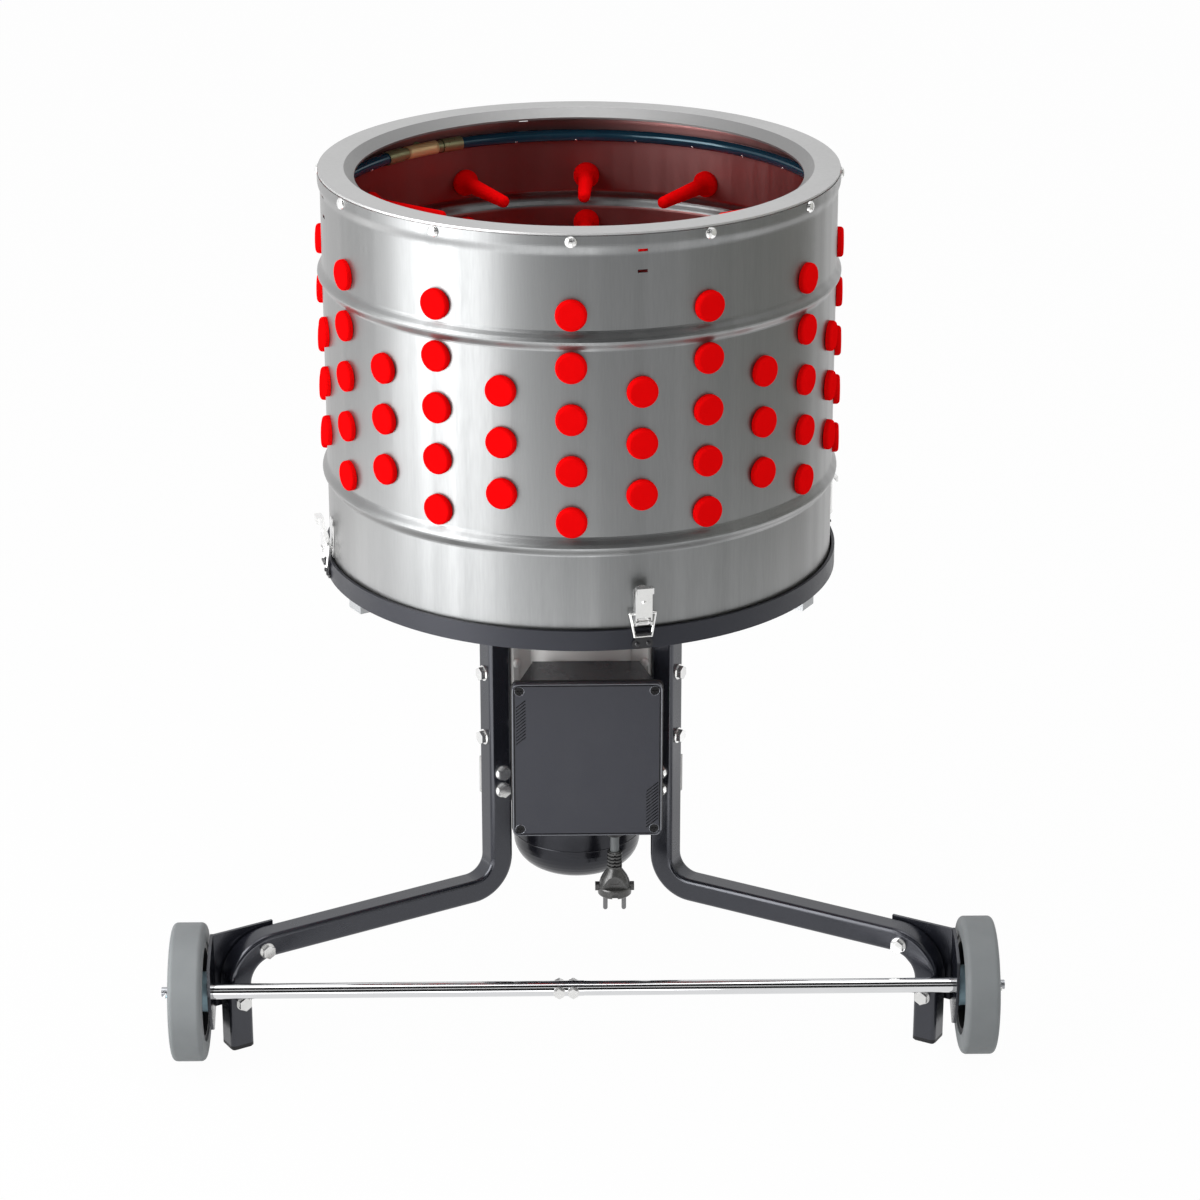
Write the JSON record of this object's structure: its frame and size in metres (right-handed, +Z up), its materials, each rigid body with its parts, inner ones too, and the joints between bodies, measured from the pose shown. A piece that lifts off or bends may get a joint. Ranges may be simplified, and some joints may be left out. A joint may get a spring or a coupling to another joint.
{
  "type": "poultry plucker",
  "caption": "Upright poultry plucker: steel drum lined with rubber fingers over a motor-driven finger plate, on a three-legged wheeled frame with a control box.",
  "frame": {"origin": "on the floor, under the middle of the object's outline", "axes": "+Z up along the drum's axis, front with the wheels and control box towards -Y, +X to the right seen from the front"},
  "size_m": [0.8432, 0.7122, 0.861],
  "materials": {
    "black_tube": "satin black powder coat",
    "dark_grey_paint": "fine textured dark grey",
    "light_grey_paint": "light grey paint",
    "motor_black": "satin black",
    "stainless": "brushed stainless sheet",
    "zinc": "bright zinc plate",
    "chrome": "bright chrome",
    "steel": "ground steel",
    "winding": "laminated core with copper windings",
    "red_rubber": "matt red rubber",
    "grey_rubber": "grey tyre rubber",
    "hub_paint": "dark grey pressed hub",
    "black_rubber": "matt black rubber",
    "box_plastic": "fine textured plastic",
    "black_plastic": "matt black plastic",
    "pale_plastic": "pale plastic",
    "hose_blue": "dark blue hose",
    "brass": "machined brass",
    "green_plastic": "green push-button",
    "red_plastic": "red push-button",
    "cord_grey": "grey cord sheath",
    "plug_grey": "moulded dark grey rubber"
  },
  "bodies": {
    "frame": {"left_leg": "black_tube", "right_leg": "black_tube", "rear_leg": "black_tube", "foot_caps": "black_plastic", "wheel_brackets": "black_tube", "bracket_bolts": "zinc", "left_axle_tube": "chrome", "right_axle_tube": "chrome", "axle_rod": "steel", "axle_fasteners": "zinc", "frame_bolts": "zinc", "frame_nuts": "zinc", "base_ring": "dark_grey_paint", "support_spider": "light_grey_paint", "gear_housing": "light_grey_paint", "motor_flange": "light_grey_paint", "motor_housing": "motor_black", "motor_end_cap": "motor_black", "stator": "winding", "ball_bearings": "steel", "shaft_seal": "black_rubber", "control_box": "box_plastic", "box_cover": "box_plastic", "cover_screws": "black_plastic", "run_capacitor": "pale_plastic", "switch_block": "black_plastic", "cord_gland": "black_plastic", "power_cord": "cord_grey", "plug": "plug_grey", "plug_pins": "chrome", "drum_shell": "stainless", "drum_lid": "stainless", "lid_screws": "zinc", "wall_fingers": "red_rubber", "latch_bases": "zinc", "latch_catches": "dark_grey_paint", "spray_hose": "hose_blue", "hose_coupling": "brass", "water_inlet": "brass"},
    "plate": {"finger_plate": "stainless", "plate_fingers": "red_rubber", "drive_shaft": "steel", "plate_hub": "steel", "output_gear": "steel"},
    "layshaft": {"lay_shaft": "steel"},
    "rotor": {"rotor": "steel"},
    "left_wheel": {"left_tyre": "grey_rubber", "left_hub": "hub_paint"},
    "right_wheel": {"right_tyre": "grey_rubber", "right_hub": "hub_paint"},
    "start": {"start_button": "green_plastic"},
    "stop": {"stop_button": "red_plastic"},
    "lever_1": {"latch_lever_1": "zinc"},
    "bail_1": {"latch_bail_1": "zinc"},
    "lever_2": {"latch_lever_2": "zinc"},
    "bail_2": {"latch_bail_2": "zinc"},
    "lever_3": {"latch_lever_3": "zinc"},
    "bail_3": {"latch_bail_3": "zinc"},
    "lever_4": {"latch_lever_4": "zinc"},
    "bail_4": {"latch_bail_4": "zinc"}
  },
  "joints": [
    {"name": "plate_spin", "type": "hinge", "parent": "frame", "child": "plate", "pos_m": [0, -0.06006, 0.48], "axis": [0, 0, 1], "continuous": true},
    {"name": "layshaft_spin", "type": "hinge", "parent": "frame", "child": "layshaft", "pos_m": [-0.002, -0.02412, 0.34], "axis": [0, 0, 1], "continuous": true},
    {"name": "rotor_spin", "type": "hinge", "parent": "frame", "child": "rotor", "pos_m": [-0.004, -0.06006, 0.22], "axis": [0, 0, 1], "continuous": true},
    {"name": "left_wheel_spin", "type": "hinge", "parent": "frame", "child": "left_wheel", "pos_m": [-0.3933, -0.28714, 0.073], "axis": [1, 0, 0], "continuous": true},
    {"name": "right_wheel_spin", "type": "hinge", "parent": "frame", "child": "right_wheel", "pos_m": [0.3933, -0.28714, 0.073], "axis": [1, 0, 0], "continuous": true},
    {"name": "start_press", "type": "slide", "parent": "frame", "child": "start", "axis": [-0.9661, -0.2582, 0], "range_m": [0, 0.003], "stiffness_N_per_m": 700, "springref_m": -0.002},
    {"name": "stop_press", "type": "slide", "parent": "frame", "child": "stop", "axis": [-0.9661, -0.2582, 0], "range_m": [0, 0.003], "stiffness_N_per_m": 700, "springref_m": -0.002},
    {"name": "lever_1_throw", "type": "hinge", "parent": "frame", "child": "lever_1", "pos_m": [0.0566, -0.31536, 0.479], "axis": [0.9763, 0.2164, 0], "range_deg": [0, 120]},
    {"name": "bail_1_swing", "type": "hinge", "parent": "lever_1", "child": "bail_1", "pos_m": [0.05634, -0.31419, 0.487], "axis": [0.9763, 0.2164, 0], "range_deg": [-132, 0]},
    {"name": "lever_2_throw", "type": "hinge", "parent": "frame", "child": "lever_2", "pos_m": [0.2553, -0.00346, 0.479], "axis": [-0.2164, 0.9763, 0], "range_deg": [0, 120]},
    {"name": "bail_2_swing", "type": "hinge", "parent": "lever_2", "child": "bail_2", "pos_m": [0.25413, -0.00372, 0.487], "axis": [-0.2164, 0.9763, 0], "range_deg": [-132, 0]},
    {"name": "lever_3_throw", "type": "hinge", "parent": "frame", "child": "lever_3", "pos_m": [-0.0566, 0.19524, 0.479], "axis": [-0.9763, -0.2164, 0], "range_deg": [0, 120]},
    {"name": "bail_3_swing", "type": "hinge", "parent": "lever_3", "child": "bail_3", "pos_m": [-0.05634, 0.19407, 0.487], "axis": [-0.9763, -0.2164, 0], "range_deg": [-132, 0]},
    {"name": "lever_4_throw", "type": "hinge", "parent": "frame", "child": "lever_4", "pos_m": [-0.2553, -0.11666, 0.479], "axis": [0.2164, -0.9763, 0], "range_deg": [0, 120]},
    {"name": "bail_4_swing", "type": "hinge", "parent": "lever_4", "child": "bail_4", "pos_m": [-0.25413, -0.1164, 0.487], "axis": [0.2164, -0.9763, 0], "range_deg": [-132, 0]}
  ],
  "couplings": [
    {"joint": "layshaft_spin", "follows": "plate_spin", "ratio": -2.3333},
    {"joint": "rotor_spin", "follows": "plate_spin", "ratio": 4.6667},
    {"joint": "bail_1_swing", "follows": "lever_1_throw", "ratio": -1.1},
    {"joint": "bail_2_swing", "follows": "lever_2_throw", "ratio": -1.1},
    {"joint": "bail_3_swing", "follows": "lever_3_throw", "ratio": -1.1},
    {"joint": "bail_4_swing", "follows": "lever_4_throw", "ratio": -1.1}
  ]
}
